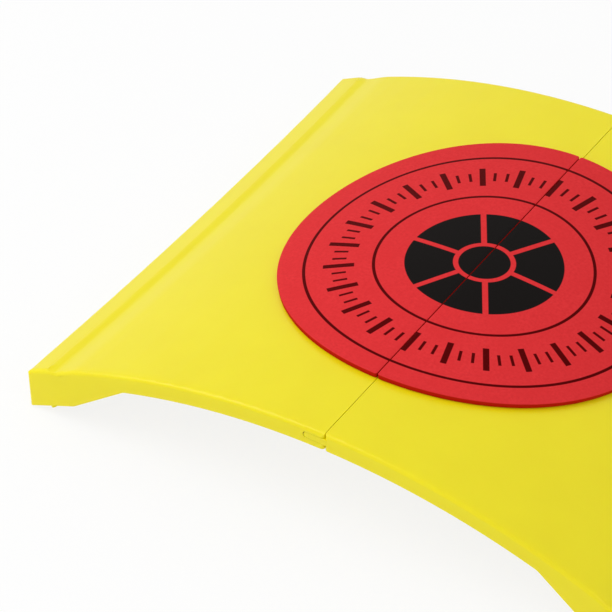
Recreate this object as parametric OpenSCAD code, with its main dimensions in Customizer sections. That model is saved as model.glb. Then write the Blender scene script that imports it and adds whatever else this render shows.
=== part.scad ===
// Re-breakable practice board: an arched plastic board in two halves that plug together
// with a tongue and a groove, and a striking disc stuck over the split as two half discs.
// X runs from end to end, Y along the split, Z up from the surface that the board stands on.

/* [Board] */
// Width of the board, along the split
board_w = 250; // [200:1:300]
// Distance between the outer bottom edges, on which the board stands
stand_w = 287; // [274:1:300]
// Height of the top of the arch above the surface
arch_h = 52.4; // [49:0.1:56]
// Outer radius of the arch
arch_r = 318; // [315:1:329]
// Thickness of the arched plate
board_t = 8.1; // [7.5:0.1:10]
// Fillet of the front and back top edges
edge_r = 2; // [1.5:0.1:2]
// Radius of the upright corners at the two ends
corner_r = 1.6; // [0.8:0.1:3]
// Radius of the upright corners at the split
split_r = 1.5; // [0.5:0.1:2]

/* [End blocks] */
// Length of the flat face under each end block
foot_l = 25; // [18:0.5:28]
// Tilt of that face
foot_tilt = 23.5; // [19:0.5:26]
// Slope of the ramp from that face up to the plate
ramp_slope = 37.5; // [32:0.5:55]
// Rounding between that face and the ramp
foot_r = 10; // [1:0.5:14]
// Fillet between the ramp and the plate
ramp_r = 6; // [1:0.5:12]
// Outward lean of the end wall
wall_lean = 2.5; // [0:0.5:8]
// How far the end wall curves in at the middle of its length
end_bow = 4.4; // [3:0.1:6]
// Diameter of the gate stub left on that face
stub_d = 2.8; // [2:0.1:4]
// Height of the gate stub
stub_h = 1; // [0.4:0.1:1.5]

/* [Edge rail] */
// Width of the rail along each end
rail_w = 12; // [8:0.5:16]
// How far the rail stands above the arch
rail_rise = 0.4; // [0.2:0.1:1.5]
// Rounding of the rail's outer edge
rail_r = 3; // [2:0.5:3.5]
// Rounding of the rail's inner edge
rail_in_r = 3; // [1:0.1:3.5]
// How far past the rail's width the shallow hollow beside it is deepest
hollow_off = 1; // [0:0.5:3]
// Half width of that hollow
hollow_w = 6; // [3:0.5:8]
// Depth of that hollow
hollow_d = 0.7; // [0.5:0.05:1.2]

/* [Joint] */
// Gap between the two halves at the split
split_gap = 0.3; // [0.1:0.1:0.6]
// Length of the tongue
tongue_l = 9.5; // [6:0.5:14]
// Thickness of the tongue at its root
tongue_t = 3; // [2:0.1:3.4]
// Thickness of the tongue at its tip
tongue_tip = 2.6; // [1.6:0.1:2.9]
// Rounding of the tongue's tip
tip_r = 1.2; // [0.2:0.1:1.2]
// Room left in front of the tip
tip_gap = 0.4; // [0.2:0.1:1]
// Clearance above and below the tongue in its groove
joint_clear = 0.1; // [0.05:0.05:0.3]

/* [Underside] */
// Skin left above the pockets
skin_t = 3; // [2:0.1:4]
// Thickness of the ribs between the pockets
rib_t = 2; // [1.2:0.1:3]
// Thickness of the walls round the pockets
wall_t = 3; // [2:0.1:4]
// Largest distance from rib to rib
rib_pitch = 27; // [18:1:27]

/* [Striking disc] */
// Diameter of the disc
disc_d = 171; // [140:0.5:190]
// Thickness of the disc
disc_t = 2.4; // [1.5:0.1:4]
// Width of the cut between the two half discs
disc_gap = 0.4; // [0.4:0.1:2]
// Rounding of the corners at the cut
disc_corner_r = 1; // [0.5:0.5:4]
// Adhesive film between disc and board
glue_t = 0.2; // [0.1:0.05:0.3]

/* [Hidden] */
board_yellow = "#EBE63A";
disc_red = "#E13232";
$fn = 48;
arch_fn = 360;
bow_fn = 1440;
over = 10; // how far a cutting shape reaches past what it cuts
cross = 0.002; // how far a rounding passes the sides that it rounds, so that it cuts them cleanly

// A point at distance d from p, in the direction a
function along(p, d, a) = [p.x + d * cos(a), p.y + d * sin(a)];
// Distance from a point inside a circle round [0, 0] to that circle, in the direction a
function reach(p, a, r) =
    let (s = p.x * cos(a) + p.y * sin(a)) sqrt(s * s - p * p + r * r) - s;

// Left end block in side view, with [0, 0] at the centre of the arch
centre_z = arch_h - arch_r;
under_r = arch_r - board_t;
wall_dir = 90 + wall_lean;
stand_edge = [-stand_w / 2, -centre_z];
foot_end = along(stand_edge, foot_l, foot_tilt);
ramp_top = along(foot_end, reach(foot_end, ramp_slope, under_r), ramp_slope);
// Middle of the fillet between the ramp and the plate
ramp_side = along(foot_end, ramp_r, ramp_slope - 90);
ramp_mid = along(ramp_side, reach(ramp_side, ramp_slope, under_r - ramp_r), ramp_slope);
wall_top = along(stand_edge, reach(stand_edge, wall_dir, arch_r), wall_dir);

// Seen square to the plate at its end, the end wall slants by this much
end_angle = atan2(-wall_top.x, wall_top.y);
wall_slant = end_angle - wall_lean;
// and it follows a circle of this radius
bow_r = (board_w * board_w / 4 + end_bow * end_bow) / (2 * end_bow);
bow_angle = asin(board_w / 2 / bow_r);

tongue_z = arch_r - board_t / 2;
tongue_end = split_gap / 2 - tongue_l;

// Outlines -----------------------------------------------------------------------------

// What rounds a corner p, whose sides leave it in the directions a1 and a2, to the radius r
module corner_cut(p, a1, a2, r) {
    half = acos(cos(a1 - a2)) / 2;
    mid = atan2(sin(a1) + sin(a2), cos(a1) + cos(a2));
    middle = along(p, r / sin(half), mid);
    difference() {
        polygon([
            along(p, r / tan(half), a1), middle, along(p, r / tan(half), a2), along(p, -r, mid)
        ]);
        translate(middle) circle(r + cross);
    }
}

// The left half from the front, without rail and joint
module side_outline() {
    difference() {
        translate([ramp_top.x, 0]) square([-ramp_top.x - split_gap / 2, arch_r + over]);
        circle(under_r, $fn = arch_fn);
    }
    difference() {
        polygon([
            along(stand_edge, -over, foot_tilt), foot_end, along(ramp_top, 1, ramp_slope),
            [ramp_top.x + 1, arch_r + over], [-stand_w / 2 - over, arch_r + over]
        ]);
        corner_cut(foot_end, 180 + foot_tilt, ramp_slope, foot_r);
    }
    difference() {
        polygon([
            along(ramp_mid, ramp_r, ramp_slope + 90), ramp_top + [0, 1],
            ramp_mid * (under_r + 1) / norm(ramp_mid), ramp_mid
        ]);
        translate(ramp_mid) circle(ramp_r + cross);
    }
}

// The next three outlines are square to the plate at its end: x inwards from the end wall
module rail_outline() {
    sunk = rail_r + 2 * hollow_d;
    difference() {
        translate([-over, arch_r - sunk]) square([over + rail_w, sunk + rail_rise]);
        corner_cut([rail_w, arch_r + rail_rise], 180, 270, rail_in_r);
    }
}

module hollow_outline() {
    r = (hollow_w * hollow_w + hollow_d * hollow_d) / (2 * hollow_d);
    x = rail_w + hollow_off;
    translate([x, sqrt(arch_r * arch_r - x * x) - hollow_d + r]) circle(r, $fn = 96);
}

module outside_outline() {
    lean = tan(wall_slant);
    top = [rail_rise * lean, arch_r + rail_rise];
    deep = arch_r - 3 * over;
    polygon([
        [over * lean, arch_r + over], [-2 * over, arch_r + over], [-2 * over - 3 * over * lean, deep],
        [-3 * over * lean, deep]
    ]);
    corner_cut(top, 270 - wall_slant, 0, rail_r);
}

module tongue_outline(grow = 0, longer = 0) {
    root = tongue_t / 2 + grow;
    tip = [tongue_end - longer, tongue_tip / 2 + grow];
    taper = atan2(tongue_t - tongue_tip, 2 * tongue_l);
    translate([0, tongue_z]) difference() {
        polygon([tip, [split_gap / 2 + 1, root], [split_gap / 2 + 1, -root], [tip.x, -tip.y]]);
        corner_cut(tip, 270, taper, tip_r);
        corner_cut([tip.x, -tip.y], 90, -taper, tip_r);
    }
}

// Half disc of radius r, left of a cut at x = -edge, with its two corners rounded
module half_disc(r, centre_x, edge, round_r) {
    corner_x = -edge - round_r;
    reach_r = r - round_r;
    corner_y = sqrt(reach_r * reach_r - (corner_x - centre_x) * (corner_x - centre_x));
    difference() {
        translate([centre_x, 0]) circle(r, $fn = arch_fn);
        translate([-edge, -r - over]) square([r + over, 2 * r + 2 * over]);
        for (side = [-1, 1]) difference() {
            polygon([
                [corner_x, side * corner_y], [-edge + over, side * corner_y],
                [-edge + over, side * (r + over)],
                [corner_x, side * corner_y] + over * [corner_x - centre_x, side * corner_y] / reach_r
            ]);
            translate([corner_x, side * corner_y]) circle(round_r + cross);
        }
    }
}

// Sweeps -------------------------------------------------------------------------------

// Runs a side view outline along Y
module run_y(w) {
    translate([0, 0, centre_z]) rotate([90, 0, 0]) linear_extrude(w, center = true) children();
}

// Turns an outline of distance from the arch's axis against Y, round that axis
module turn_arch(half_angle) {
    translate([0, 0, centre_z]) rotate([90, 0, 0]) rotate([0, 0, 90 - half_angle])
        rotate_extrude(angle = 2 * half_angle, $fn = arch_fn) children();
}

// Runs an outline along the bowed end wall
module run_end() {
    spread = bow_angle + 1;
    translate([0, 0, centre_z]) rotate([0, -end_angle, 0]) translate([-bow_r * cos(bow_angle), 0, 0])
        rotate([0, 0, -spread]) rotate_extrude(angle = 2 * spread, $fn = bow_fn)
            translate([bow_r, 0]) children();
}

// Everything between the board's front and back faces, with filleted top edges at radius r
module between_faces(r) {
    turn_arch(end_angle + 5) {
        translate([arch_r - 4 * over, -board_w / 2]) square([4 * over + r - arch_r - edge_r, board_w]);
        translate([arch_r - 4 * over, edge_r - board_w / 2])
            square([4 * over + r - arch_r, board_w - 2 * edge_r]);
        for (side = [-1, 1]) translate([r - edge_r, side * (board_w / 2 - edge_r)]) circle(edge_r);
    }
}

// Sub-parts ----------------------------------------------------------------------------

// Cores of the underside, in rows from the joint to the end wall
module pocket_cores() {
    first = tongue_end - tip_gap - wall_t;
    last = stand_edge.x + wall_t + end_bow;
    rows = ceil((first - last + rib_t) / rib_pitch);
    cols = ceil((board_w - 2 * wall_t + rib_t) / rib_pitch);
    row_w = (first - last + rib_t) / rows;
    col_w = (board_w - 2 * wall_t + rib_t) / cols;
    intersection() {
        for (row = [0 : rows - 1], col = [0 : cols - 1])
            translate([last + row * row_w, wall_t - board_w / 2 + col * col_w, -over])
                cube([row_w - rib_t, col_w - rib_t, arch_h + over]);
        run_y(board_w) circle(arch_r - skin_t, $fn = arch_fn);
    }
}

module upright_corners() {
    for (side = [-1, 1]) {
        translate([stand_edge.x, side * board_w / 2, 0]) rotate([0, -wall_lean, 0])
            translate([0, 0, -over]) linear_extrude(arch_h + over)
                corner_cut([0, 0], 0, -side * 90, corner_r);
        translate([-split_gap / 2, side * board_w / 2, arch_h - 2 * over]) linear_extrude(3 * over)
            corner_cut([0, 0], 180, -side * 90, split_r);
    }
}

module gate_stub() {
    p = along(stand_edge, foot_l / 2, foot_tilt);
    inset = max(stub_d, wall_t) / 2;
    translate([p.x, inset - board_w / 2, centre_z + p.y]) rotate([0, -foot_tilt, 0])
        translate([0, 0, -stub_h]) cylinder(d = stub_d, h = stub_h + wall_t);
}

module hollowed_plate() {
    difference() {
        intersection() {
            run_y(board_w) side_outline();
            between_faces(arch_r);
        }
        run_end() hollow_outline();
    }
}

module railed_plate() {
    difference() {
        union() {
            hollowed_plate();
            intersection() {
                run_end() rail_outline();
                between_faces(arch_r + rail_rise);
            }
        }
        run_end() outside_outline();
    }
}

// The left half without its groove
module plain_half() {
    difference() {
        difference() {
            railed_plate();
            upright_corners();
        }
        pocket_cores();
    }
    gate_stub();
}

module left_board_half() {
    color(board_yellow) difference() {
        plain_half();
        run_y(board_w + over) tongue_outline(joint_clear, tip_gap);
    }
}

module right_board_half() {
    color(board_yellow) {
        mirror([1, 0, 0]) plain_half();
        run_y(board_w) tongue_outline();
    }
}

// Laid over the arch, half a disc reaches a little less far sideways than along the split
module half_pad() {
    in = arch_r + glue_t;
    r = disc_d / 2;
    narrowing = r - in * sin(r / in * 180 / PI);
    intersection() {
        linear_extrude(arch_h + 2 * disc_t)
            half_disc(r, narrowing, disc_gap / 2, disc_corner_r);
        run_y(2 * disc_d) difference() {
            circle(in + disc_t, $fn = arch_fn);
            circle(in, $fn = arch_fn);
        }
    }
}

module left_pad_half() {
    color(disc_red) half_pad();
}

module right_pad_half() {
    color(disc_red) mirror([1, 0, 0]) half_pad();
}

left_board_half();
right_board_half();
left_pad_half();
right_pad_half();
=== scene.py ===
"""A re-breakable practice board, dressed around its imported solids.

Two halves of a moulded yellow board plug together under a red foam rubber disc, which is cut
along the same split and printed with rings and target marks.
"""

import math

import bpy
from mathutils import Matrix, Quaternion, Vector


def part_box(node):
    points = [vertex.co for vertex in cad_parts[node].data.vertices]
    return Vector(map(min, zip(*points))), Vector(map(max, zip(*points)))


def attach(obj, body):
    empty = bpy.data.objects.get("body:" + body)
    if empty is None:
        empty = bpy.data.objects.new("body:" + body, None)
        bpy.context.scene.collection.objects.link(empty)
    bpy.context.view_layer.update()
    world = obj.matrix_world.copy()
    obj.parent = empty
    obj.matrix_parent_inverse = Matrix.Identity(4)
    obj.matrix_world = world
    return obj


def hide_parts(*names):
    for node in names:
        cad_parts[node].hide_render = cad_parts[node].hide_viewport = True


MM = 0.001

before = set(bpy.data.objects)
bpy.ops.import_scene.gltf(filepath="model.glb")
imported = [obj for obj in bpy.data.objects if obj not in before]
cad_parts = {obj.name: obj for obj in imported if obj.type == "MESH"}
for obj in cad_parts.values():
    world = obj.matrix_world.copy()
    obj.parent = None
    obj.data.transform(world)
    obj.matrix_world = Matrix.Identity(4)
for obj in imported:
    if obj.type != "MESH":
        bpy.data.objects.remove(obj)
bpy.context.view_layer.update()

# Sizes of the real pieces and of the print, in mm

# Board
ARCH_R = 318.0  # outer radius of the arch
BOARD_W = 250.0  # along the split
EDGE_R = 2.0  # fillet of the front and back top edges
END_X = 144.28  # from the middle to the top of the end wall's corners
END_BOW = 4.4  # how far the end wall curves in at its middle
BOW_R = (BOARD_W**2 / 4 + END_BOW**2) / (2 * END_BOW)  # radius of that curve
END_ANGLE = math.asin(END_X / ARCH_R)  # from the top of the arch to the end wall's corners

# Rail along the end wall and the hollow beside it, by their distance from that wall
RAIL_RISE = 0.4  # height of the rail above the arch
RAIL_END = 11.3  # where the rail starts to fall
HOLLOW_MID = 16.0  # bottom of the hollow
HOLLOW_END = 28.0  # where the plate is plain again
HOLLOW_D = 0.75  # depth of the hollow

# Striking disc
DISC_D = 171.0
DISC_T = 2.4
DISC_GAP = 0.4  # width of the cut between the half discs
CUT_CORNER_R = 1.0  # rounding of the disc's corners at the cut
DISC_EASE = 0.3  # easing of the disc's edges
GLUE_T = 0.2  # adhesive film under the disc

# Print on the disc: R is the radius to the middle of a ring or of a circle of marks
PRINT_OFFSET = (1.1, -0.8)  # the print sits a little off the middle of the disc
RING_IN_R, RING_OUT_R, RING_W = 45.7, 74.7, 1.35
STROKES_R = 60.2
FINE_COUNT, FINE_L, FINE_W = 72, 6.0, 1.3
BOLD_COUNT, BOLD_L, BOLD_W = 24, 13.0, 2.6
BLOCKS_R, BLOCK_L = 23.0, 20.0
BLOCK_COUNT, BLOCK_GAP = 6, 2.4
SPOT_D = 21.6
INK_EDGE = 0.25  # width over which the ink's edge fades

# Where the disc rests: the top of the arch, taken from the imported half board
ARCH_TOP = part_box("left_board_half")[1].z


# Small helpers --------------------------------------------------------------------------


def linear(code):
    """An sRGB hex colour as the linear colour that a socket takes."""
    parts = [int(code[i : i + 2], 16) / 255 for i in (1, 3, 5)]
    return [c / 12.92 if c <= 0.04045 else ((c + 0.055) / 1.055) ** 2.4 for c in parts] + [1.0]


def add(tree, kind, links=None, **settings):
    """Adds a shader node: settings are its properties, links its sockets' values or sources."""
    node = tree.nodes.new("ShaderNode" + kind)
    for name, value in settings.items():
        setattr(node, name, value)
    for socket, value in (links or {}).items():
        if isinstance(value, bpy.types.NodeSocket):
            tree.links.new(value, node.inputs[socket])
        else:
            node.inputs[socket].default_value = value
    return node


# A Mix node has its sockets once for each kind of value. These are the ones for colours.
MIX_A, MIX_B, MIXED = 6, 7, 2


def new_material(name):
    """An empty material, its node tree and its output node."""
    material = bpy.data.materials.new(name)
    material.use_nodes = True
    tree = material.node_tree
    tree.nodes.clear()
    return material, tree, add(tree, "OutputMaterial")


def deselect():
    bpy.ops.object.select_all(action="DESELECT")


def activate(piece):
    deselect()
    piece.select_set(True)
    bpy.context.view_layer.objects.active = piece


def set_in_place(piece):
    activate(piece)
    bpy.ops.object.transform_apply(location=True, rotation=True, scale=True)


def apply_modifier(piece, kind, **settings):
    activate(piece)
    modifier = piece.modifiers.new(kind.title(), kind)
    for name, value in settings.items():
        setattr(modifier, name, value)
    bpy.ops.object.modifier_apply(modifier=modifier.name)


def direction(azimuth, elevation):
    """Unit vector away from the board, azimuth in degrees from the front towards the right."""
    a, e = math.radians(azimuth), math.radians(elevation)
    return Vector((math.sin(a) * math.cos(e), -math.cos(a) * math.cos(e), math.sin(e)))


# Materials ------------------------------------------------------------------------------


def moulded_plastic():
    """High impact polypropylene, injection moulded against a polished mould.

    An even, saturated yellow with a soft gloss, into which light sinks about a millimetre, so
    that edges and seams look soft. The surface is a little uneven where the plastic shrank, and
    the use of the board leaves fine scuffs that only show in the gloss.
    """
    material, tree, output = new_material("yellow_moulded_polypropylene")
    place = add(tree, "TexCoord").outputs["Object"]
    # Cloudy pigment, a patch every 25 mm
    clouds = add(tree, "TexNoise", {"Vector": place, "Scale": 1 / (25 * MM), "Detail": 3.0})
    tint = add(
        tree,
        "Mix",
        {
            "Factor": clouds.outputs["Fac"],
            MIX_A: linear("#F0E00A"),
            MIX_B: linear("#F6E810"),
        },
        data_type="RGBA",
    )
    # Scuffs, one every 1.2 mm and ten times as long, drawn coarse so that they show
    stretched = add(
        tree, "Mapping", {"Vector": place, "Rotation": (0, 0, 0.6), "Scale": (1, 0.1, 1)}
    )
    scuffs = add(
        tree,
        "TexNoise",
        {"Vector": stretched.outputs["Vector"], "Scale": 1 / (1.2 * MM), "Detail": 2.0},
    )
    gloss = add(
        tree,
        "MapRange",
        {
            "Value": scuffs.outputs["Fac"],
            "From Min": 0.35,
            "From Max": 0.75,
            "To Min": 0.3,
            "To Max": 0.34,
        },
    )
    # Shrinkage ripple every 8 mm under a fine orange peel of 0.9 mm
    ripple = add(tree, "TexNoise", {"Vector": place, "Scale": 1 / (8 * MM), "Detail": 1.0})
    peel = add(tree, "TexNoise", {"Vector": place, "Scale": 1 / (0.9 * MM), "Detail": 1.0})
    wavy = add(
        tree, "Bump", {"Height": ripple.outputs["Fac"], "Strength": 0.25, "Distance": 0.15 * MM}
    )
    bump = add(
        tree,
        "Bump",
        {
            "Height": peel.outputs["Fac"],
            "Strength": 0.2,
            "Distance": 0.012 * MM,
            "Normal": wavy.outputs["Normal"],
        },
    )
    shader = add(
        tree,
        "BsdfPrincipled",
        {
            "Base Color": tint.outputs[MIXED],
            "Roughness": gloss.outputs["Result"],
            "IOR": 1.49,
            "Specular IOR Level": 0.35,
            "Subsurface Weight": 0.35,
            "Subsurface Radius": (1.0, 0.8, 0.15),
            "Subsurface Scale": 1.0 * MM,
            "Normal": bump.outputs["Normal"],
        },
    )
    tree.links.new(shader.outputs["BSDF"], output.inputs["Surface"])
    return material


def inked(tree, away, width):
    """1 within half a width of a line and 0 beyond it; away is the distance from it in mm."""
    return add(
        tree,
        "MapRange",
        {
            "Value": away,
            "From Min": (width + INK_EDGE) / 2,
            "From Max": (width - INK_EDGE) / 2,
        },
    ).outputs["Result"]


def ring(tree, radius, middle, width):
    """A ring of ink, middle its radius and width the difference of its outer and inner ones."""
    off = add(tree, "Math", {0: radius, 1: middle}, operation="SUBTRACT").outputs[0]
    away = add(tree, "Math", {0: off}, operation="ABSOLUTE").outputs[0]
    return inked(tree, away, width)


def spokes(tree, turn, radius, count, width):
    """count lines that run out from the middle; turn goes from 0 to 1 round the disc."""
    steps = add(tree, "Math", {0: turn, 1: count}, operation="MULTIPLY").outputs[0]
    off_line = add(tree, "Math", {0: steps, 1: 0.5}, operation="PINGPONG").outputs[0]
    arc = add(tree, "Math", {0: off_line, 1: 2 * math.pi / count}, operation="MULTIPLY").outputs[0]
    away = add(tree, "Math", {0: arc, 1: radius}, operation="MULTIPLY").outputs[0]
    return inked(tree, away, width)


def both(tree, a, b):
    return add(tree, "Math", {0: a, 1: b}, operation="MULTIPLY").outputs[0]


def without(tree, a, b):
    rest = add(tree, "Math", {0: 1.0, 1: b}, operation="SUBTRACT").outputs[0]
    return both(tree, a, rest)


def either(tree, *masks):
    result = masks[0]
    for mask in masks[1:]:
        result = add(tree, "Math", {0: result, 1: mask}, operation="MAXIMUM").outputs[0]
    return result


def target_print(tree, flat):
    """Where the thin dark red ink and the black ink lie; flat is the place on the flat disc."""
    centred = add(
        tree, "VectorMath", {0: flat, 1: (*PRINT_OFFSET, 0)}, operation="SUBTRACT"
    ).outputs["Vector"]
    axes = add(tree, "SeparateXYZ", {"Vector": centred}).outputs
    level = add(tree, "CombineXYZ", {"X": axes["X"], "Y": axes["Y"]}).outputs["Vector"]
    radius = add(tree, "VectorMath", {0: level}, operation="LENGTH").outputs["Value"]
    angle = add(tree, "Math", {0: axes["Y"], 1: axes["X"]}, operation="ARCTAN2").outputs[0]
    turn = add(
        tree, "MapRange", {"Value": angle, "From Min": -math.pi, "From Max": math.pi}
    ).outputs["Result"]

    fine = both(
        tree,
        ring(tree, radius, STROKES_R, FINE_L),
        spokes(tree, turn, radius, FINE_COUNT, FINE_W),
    )
    bold = both(
        tree,
        ring(tree, radius, STROKES_R, BOLD_L),
        spokes(tree, turn, radius, BOLD_COUNT, BOLD_W),
    )
    inner = ring(tree, radius, RING_IN_R, RING_W)
    outer = ring(tree, radius, RING_OUT_R, RING_W)
    blocks = without(
        tree,
        ring(tree, radius, BLOCKS_R, BLOCK_L),
        spokes(tree, turn, radius, BLOCK_COUNT, BLOCK_GAP),
    )
    spot = inked(tree, radius, SPOT_D)
    return either(tree, inner, outer, fine, bold), either(tree, blocks, spot)


def printed_foam():
    """Closed cell foam rubber, split from a block, screen printed and die cut.

    Matt red with a fine grain of cut cells that catches the light, and rings and target marks
    in dull dark ink. The cut wall shows open cells and is darker.
    """
    material, tree, output = new_material("red_die_cut_foam_rubber")
    place = add(tree, "TexCoord").outputs["Object"]
    flat = add(tree, "Attribute", attribute_name="flat").outputs["Vector"]
    thin_ink, black_ink = target_print(tree, flat)

    # Cut cells, drawn at about 1.2 mm so that they show, over a slow unevenness of 12 mm
    grain = add(tree, "TexNoise", {"Vector": place, "Scale": 1 / (1.2 * MM), "Detail": 4.0})
    uneven = add(tree, "TexNoise", {"Vector": place, "Scale": 1 / (12 * MM), "Detail": 2.0})
    # The wall that the die cut, from halfway down the eased edge
    height = add(tree, "SeparateXYZ", {"Vector": flat}).outputs["Z"]
    wall = add(
        tree, "MapRange", {"Value": height, "From Min": DISC_T - 0.15, "From Max": DISC_T - 0.35}
    ).outputs["Result"]

    # Each layer lies over the one before it: where it shows, and its colour
    colour = linear("#CA262B")
    for mask, code in (
        (grain.outputs["Fac"], "#F84245"),
        (uneven.outputs["Fac"], "#DE3235"),
        (wall, "#B81A0C"),
        (without(tree, thin_ink, wall), "#540102"),
        (without(tree, black_ink, wall), "#161312"),
    ):
        colour = add(
            tree, "Mix", {"Factor": mask, MIX_A: colour, MIX_B: linear(code)}, data_type="RGBA"
        ).outputs[MIXED]

    bump = add(
        tree, "Bump", {"Height": grain.outputs["Fac"], "Strength": 0.5, "Distance": 0.05 * MM}
    )
    shader = add(
        tree,
        "BsdfPrincipled",
        {
            "Base Color": colour,
            "Roughness": 0.6,
            "IOR": 1.5,
            "Specular IOR Level": 0.03,
            "Normal": bump.outputs["Normal"],
        },
    )
    tree.links.new(shader.outputs["BSDF"], output.inputs["Surface"])
    return material


# The striking disc ----------------------------------------------------------------------


def lay_over_arch(piece, height):
    """Bends a flat piece down over the arch, its underside height mm above the board."""
    bpy.ops.object.empty_add(rotation=(math.pi / 2, 0, 0))
    axis = bpy.context.active_object
    across = [v.co.x for v in piece.data.vertices]
    turn = (max(across) - min(across)) / ((ARCH_R + height) * MM)
    apply_modifier(
        piece, "SIMPLE_DEFORM", deform_method="BEND", deform_axis="Z", origin=axis, angle=-turn
    )
    bpy.data.objects.remove(axis)
    piece.location.z = ARCH_TOP + height * MM
    set_in_place(piece)


def half_disc(name, side):
    """One half of the disc, cut flat from a sheet, its edges eased, then laid over the arch.

    side is -1 for the left half and 1 for the right.
    """
    deselect()
    bpy.ops.mesh.primitive_circle_add(
        vertices=180, radius=DISC_D / 2 * MM, fill_type="NGON", location=(0, 0, 0)
    )
    piece = bpy.context.active_object
    piece.name = name
    mesh = piece.data
    bpy.ops.object.mode_set(mode="EDIT")
    bpy.ops.mesh.select_all(action="SELECT")
    bpy.ops.mesh.bisect(
        plane_co=(side * DISC_GAP / 2 * MM, 0, 0),
        plane_no=(side, 0, 0),
        clear_inner=True,
        use_fill=False,
    )
    bpy.ops.object.mode_set(mode="OBJECT")
    # Round the two corners at the cut
    near_cut = (DISC_GAP / 2 + 0.01) * MM
    for vertex in mesh.vertices:
        vertex.select = abs(vertex.co.x) < near_cut
    bpy.ops.object.mode_set(mode="EDIT")
    bpy.ops.mesh.select_mode(type="VERT")
    bpy.ops.mesh.bevel(offset=CUT_CORNER_R * MM, affect="VERTICES", segments=5)
    # Give it its thickness and eased edges
    bpy.ops.mesh.select_all(action="SELECT")
    bpy.ops.mesh.extrude_region_move(TRANSFORM_OT_translate={"value": (0, 0, DISC_T * MM)})
    bpy.ops.mesh.select_all(action="SELECT")
    bpy.ops.mesh.normals_make_consistent(inside=False)
    bpy.ops.object.mode_set(mode="OBJECT")
    apply_modifier(
        piece,
        "BEVEL",
        width=DISC_EASE * MM,
        segments=2,
        limit_method="ANGLE",
        angle_limit=math.radians(50),
    )
    # Cut it into strips along the split, so that it can follow the arch
    strip = 3.0
    bpy.ops.object.mode_set(mode="EDIT")
    for i in range(1, int(DISC_D / 2 // strip) + 1):
        bpy.ops.mesh.select_all(action="SELECT")
        bpy.ops.mesh.bisect(plane_co=(side * i * strip * MM, 0, 0), plane_no=(1, 0, 0))
    bpy.ops.object.mode_set(mode="OBJECT")
    # Remember the flat sheet, in mm, for the print
    flat = mesh.attributes.new("flat", "FLOAT_VECTOR", "POINT")
    for vertex in mesh.vertices:
        flat.data[vertex.index].vector = vertex.co / MM
    lay_over_arch(piece, GLUE_T)
    bpy.ops.object.shade_smooth_by_angle(angle=math.radians(35))
    return piece


# The moulded boards ---------------------------------------------------------------------


def eased(start, end, share):
    """From start to end as share goes from 0 to 1, level at both."""
    return start + (end - start) * (1 - math.cos(math.pi * share)) / 2


def rail_height(inward):
    """Height above the arch, inward mm from the end wall: the rail rolls over into the hollow."""
    if inward < RAIL_END:
        return RAIL_RISE
    if inward < HOLLOW_MID:
        return eased(RAIL_RISE, -HOLLOW_D, (inward - RAIL_END) / (HOLLOW_MID - RAIL_END))
    if inward < HOLLOW_END:
        return eased(-HOLLOW_D, 0, (inward - HOLLOW_MID) / (HOLLOW_END - HOLLOW_MID))
    return 0.0


def roll_rail(piece, side):
    """Lets the rail roll over into the hollow beside it, in place of the solid's steeper step."""
    axis_z = ARCH_TOP - ARCH_R * MM
    mesh = piece.data
    lowest_top = ARCH_R - EDGE_R - 0.3  # radius above which a point is on the top
    lead_in = 1.0  # how far before the rail's end its points are already set
    reach = 8.0  # how far past the hollow a face's points still count as near it
    column, row = 1.0, 10.0  # size of the fine grid's cells, across the rail and along it

    def place(co):
        """Angle round the arch's axis, radius, and distance inward from the end wall, in mm."""
        out, up = side * co.x / MM, (co.z - axis_z) / MM
        angle, radius = math.atan2(out, up), math.hypot(out, up)
        across = radius * math.sin(END_ANGLE - angle)
        return angle, radius, math.hypot(across + BOW_R - END_BOW, co.y / MM) - BOW_R

    # Cut the top faces near the rail into a fine grid, with all other faces hidden from the cuts
    places = [place(v.co) for v in mesh.vertices]
    top = [radius > lowest_top for _, radius, _ in places]
    near = [RAIL_END - 2 * lead_in < inward < HOLLOW_END + reach for _, _, inward in places]
    for face in mesh.polygons:
        face.select = all(top[i] for i in face.vertices) and any(near[i] for i in face.vertices)
    bpy.ops.object.mode_set(mode="EDIT")
    bpy.ops.mesh.select_mode(type="FACE")
    bpy.ops.mesh.hide(unselected=True)
    first, last = int((RAIL_END - lead_in) / column), int((HOLLOW_END + END_BOW) / column) + 1
    for i in range(first, last + 1):  # planes through the arch's axis
        turn = END_ANGLE - i * column / ARCH_R
        bpy.ops.mesh.select_all(action="SELECT")
        bpy.ops.mesh.bisect(
            plane_co=(0, 0, axis_z), plane_no=(math.cos(turn), 0, -side * math.sin(turn))
        )
    rows = int(BOARD_W / 2 / row)
    for i in range(-rows, rows + 1):  # planes across the split
        bpy.ops.mesh.select_all(action="SELECT")
        bpy.ops.mesh.bisect(plane_co=(0, i * row * MM, 0), plane_no=(0, 1, 0))
    bpy.ops.mesh.reveal(select=False)
    bpy.ops.object.mode_set(mode="OBJECT")
    # Set each point of the grid to its height, less the drop of the front or back edge's fillet
    for vertex in mesh.vertices:
        angle, radius, inward = place(vertex.co)
        if radius > lowest_top and RAIL_END - lead_in < inward < HOLLOW_END:
            past = max(0.0, abs(vertex.co.y) / MM - (BOARD_W / 2 - EDGE_R))
            fillet = EDGE_R - math.sqrt(max(0.0, EDGE_R**2 - past**2))
            radius = (ARCH_R + rail_height(inward) - fillet) * MM
            vertex.co.x = side * radius * math.sin(angle)
            vertex.co.z = axis_z + radius * math.cos(angle)


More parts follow.
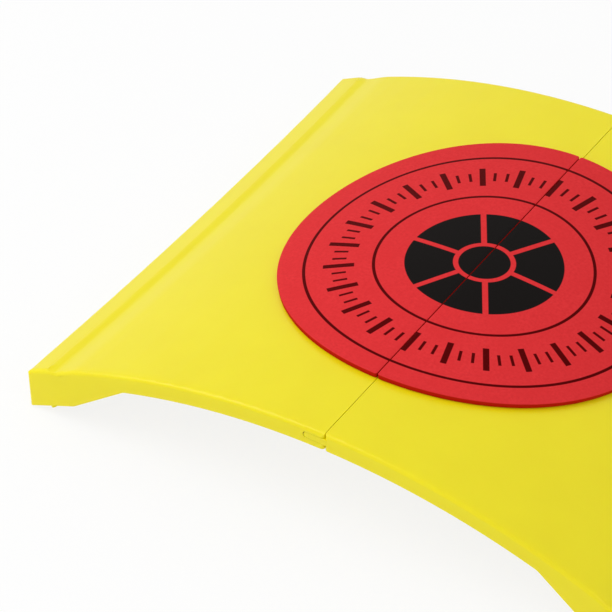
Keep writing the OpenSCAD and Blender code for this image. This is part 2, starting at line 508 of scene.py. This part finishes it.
def moulded_board(name, node, side):
    """A half board: its solid's faces joined up, and shaded smoothly over fillets and hollows.

    side is -1 for the left half and 1 for the right.
    """
    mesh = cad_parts[node].data.copy()
    mesh.materials.clear()
    piece = bpy.data.objects.new(name, mesh)
    bpy.context.scene.collection.objects.link(piece)
    activate(piece)
    bpy.ops.object.mode_set(mode="EDIT")
    bpy.ops.mesh.select_all(action="SELECT")
    bpy.ops.mesh.remove_doubles(threshold=0.001 * MM)
    bpy.ops.mesh.customdata_custom_splitnormals_clear()
    bpy.ops.object.mode_set(mode="OBJECT")
    roll_rail(piece, side)
    activate(piece)
    bpy.ops.object.shade_smooth_by_angle(angle=math.radians(32))
    apply_modifier(piece, "WEIGHTED_NORMAL", weight=60, keep_sharp=True)
    return piece


# Putting it together --------------------------------------------------------------------

plastic = moulded_plastic()
foam = printed_foam()

for name, side in (("left", -1), ("right", 1)):
    board = moulded_board(name + "_moulded_board", name + "_board_half", side)
    board.data.materials.append(plastic)
    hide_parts(name + "_board_half")
    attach(board, name + "_half")

    pad = half_disc(name + "_foam_disc", side)
    pad.data.materials.append(foam)
    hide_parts(name + "_pad_half")
    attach(pad, name + "_half")


# Floor, light and camera ----------------------------------------------------------------

FLOOR_GLOW = 0.85  # share of the floor's white that is its own light, which fades its shadow
WORLD_LIGHT = 0.6  # how strongly the surroundings light the board
BACKDROP = 0.95  # how bright they look, close to the floor's own tone
WHITE = (1, 1, 1, 1)


def in_view(tree):
    """1 for what the camera sees, also in a reflection or through glass, 0 for what lights."""
    path = add(tree, "LightPath").outputs
    return either(tree, path["Is Camera Ray"], path["Is Glossy Ray"], path["Is Transmission Ray"])


def pale_floor():
    """White studio paper, which glows a little where it is seen, so that its shadow is faint."""
    material, tree, output = new_material("white_studio_paper")
    share = both(tree, in_view(tree), FLOOR_GLOW)
    paper = add(tree, "BsdfDiffuse", {"Color": linear("#FAFAFA")}).outputs["BSDF"]
    glow = add(tree, "Emission", {"Color": WHITE, "Strength": 1.0}).outputs["Emission"]
    mixed = add(tree, "MixShader", {0: share, 1: paper, 2: glow})
    tree.links.new(mixed.outputs["Shader"], output.inputs["Surface"])
    return material


# The floor lies 0.2 mm below the feet, so that their faces don't coincide
deselect()
bpy.ops.mesh.primitive_plane_add(size=8.0, location=(0, 0, -0.2 * MM))
floor = bpy.context.active_object
floor.name = "floor"
floor.data.materials.append(pale_floor())

world = bpy.data.worlds.new("studio")
bpy.context.scene.world = world
world.use_nodes = True
sky = world.node_tree
sky.nodes.clear()
strength = add(
    sky, "MapRange", {"Value": in_view(sky), "To Min": WORLD_LIGHT, "To Max": BACKDROP}
).outputs["Result"]
back = add(sky, "Background", {"Color": WHITE, "Strength": strength}).outputs["Background"]
sky.links.new(back, add(sky, "OutputWorld").inputs["Surface"])


def softbox(name, azimuth, elevation, distance, size, power):
    """A square softbox that faces the board; distance and size in metres, power in watts."""
    away = direction(azimuth, elevation)
    light = bpy.data.lights.new(name, "AREA")
    light.shape = "SQUARE"
    light.size = size
    light.energy = power
    lamp = bpy.data.objects.new(name, light)
    lamp.location = away * distance
    lamp.rotation_euler = (-away).to_track_quat("-Z", "Y").to_euler()
    bpy.context.scene.collection.objects.link(lamp)


softbox("key_light", azimuth=-60, elevation=46, distance=1.6, size=1.2, power=11.0)
softbox("fill_light", azimuth=60, elevation=38, distance=2.0, size=1.4, power=4.5)

# The camera stands to the right of the front and looks down at the left part of the board
AIM = Vector((-61.92, -38.82, 30.0)) * MM
AZIMUTH, ELEVATION, ROLL = 31.58, 39.38, 0.69
DISTANCE = 1294.4 * MM
camera_data = bpy.data.cameras.new("camera")
camera_data.lens = 181.8
camera_data.sensor_width = 36.0
camera = bpy.data.objects.new("camera", camera_data)
away = direction(AZIMUTH, ELEVATION)
camera.location = AIM + away * DISTANCE
camera.rotation_mode = "QUATERNION"
camera.rotation_quaternion = (-away).to_track_quat("-Z", "Y") @ Quaternion(
    (0, 0, 1), math.radians(ROLL)
)
bpy.context.scene.collection.objects.link(camera)
bpy.context.scene.camera = camera

bpy.context.scene.view_settings.view_transform = "Standard"
